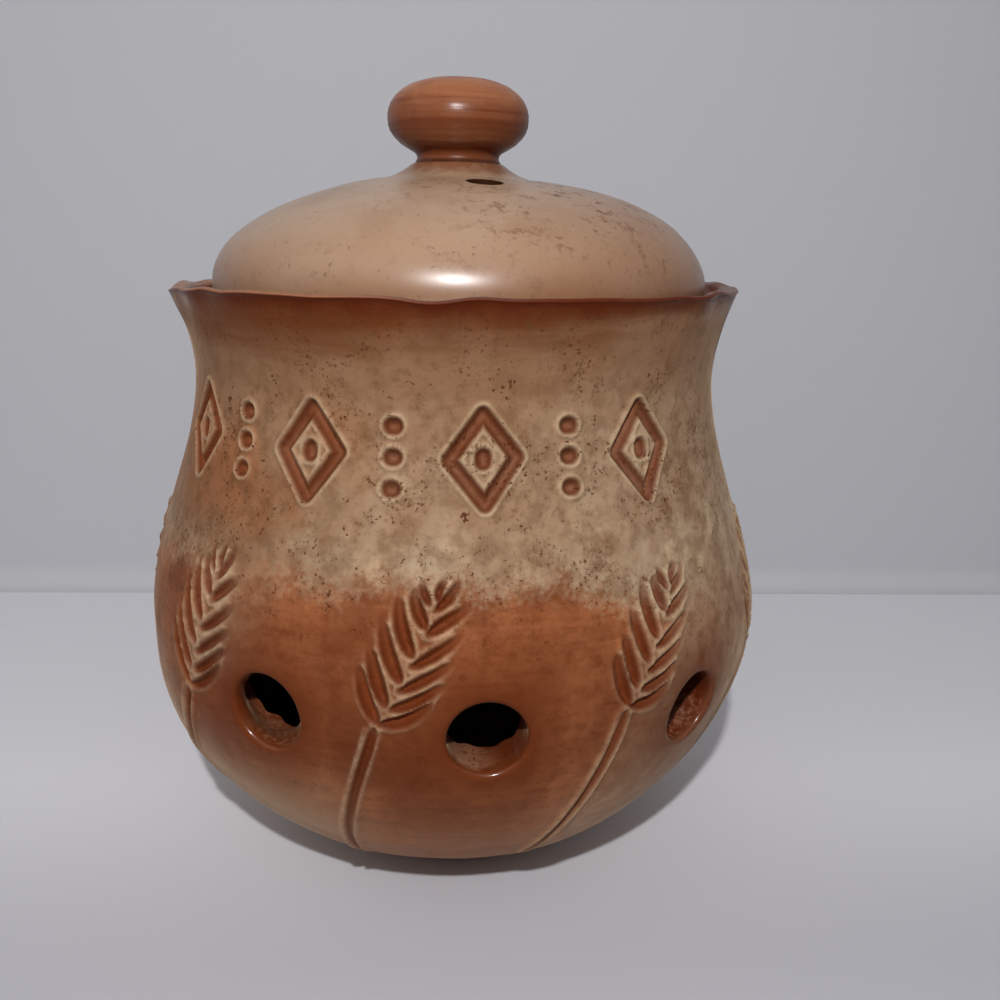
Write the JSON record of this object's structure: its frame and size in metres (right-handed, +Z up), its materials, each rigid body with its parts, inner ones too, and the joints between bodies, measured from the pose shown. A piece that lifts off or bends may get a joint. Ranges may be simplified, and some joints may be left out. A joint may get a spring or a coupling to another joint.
{
  "type": "onion keeper",
  "caption": "Bellied stoneware storage pot with a ring of round air holes, a flared lip and a lift-off domed lid with a knob.",
  "frame": {"origin": "middle of the foot, on the table that the pot stands on", "axes": "+Z up along the pot's axis through the knob, -Y towards the front, +X to the viewer's right"},
  "size_m": [0.19, 0.19, 0.2338],
  "materials": {
    "pot_glaze": "satin",
    "lid_glaze": "satin",
    "knob_glaze": "satin"
  },
  "bodies": {
    "pot": {"pot": "pot_glaze"},
    "lid": {"lid": "lid_glaze", "knob": "knob_glaze"}
  },
  "joints": [
    {"name": "lid_lift", "type": "slide", "parent": "pot", "child": "lid", "axis": [0, 0, 1], "range_m": [0, 0.15]}
  ]
}
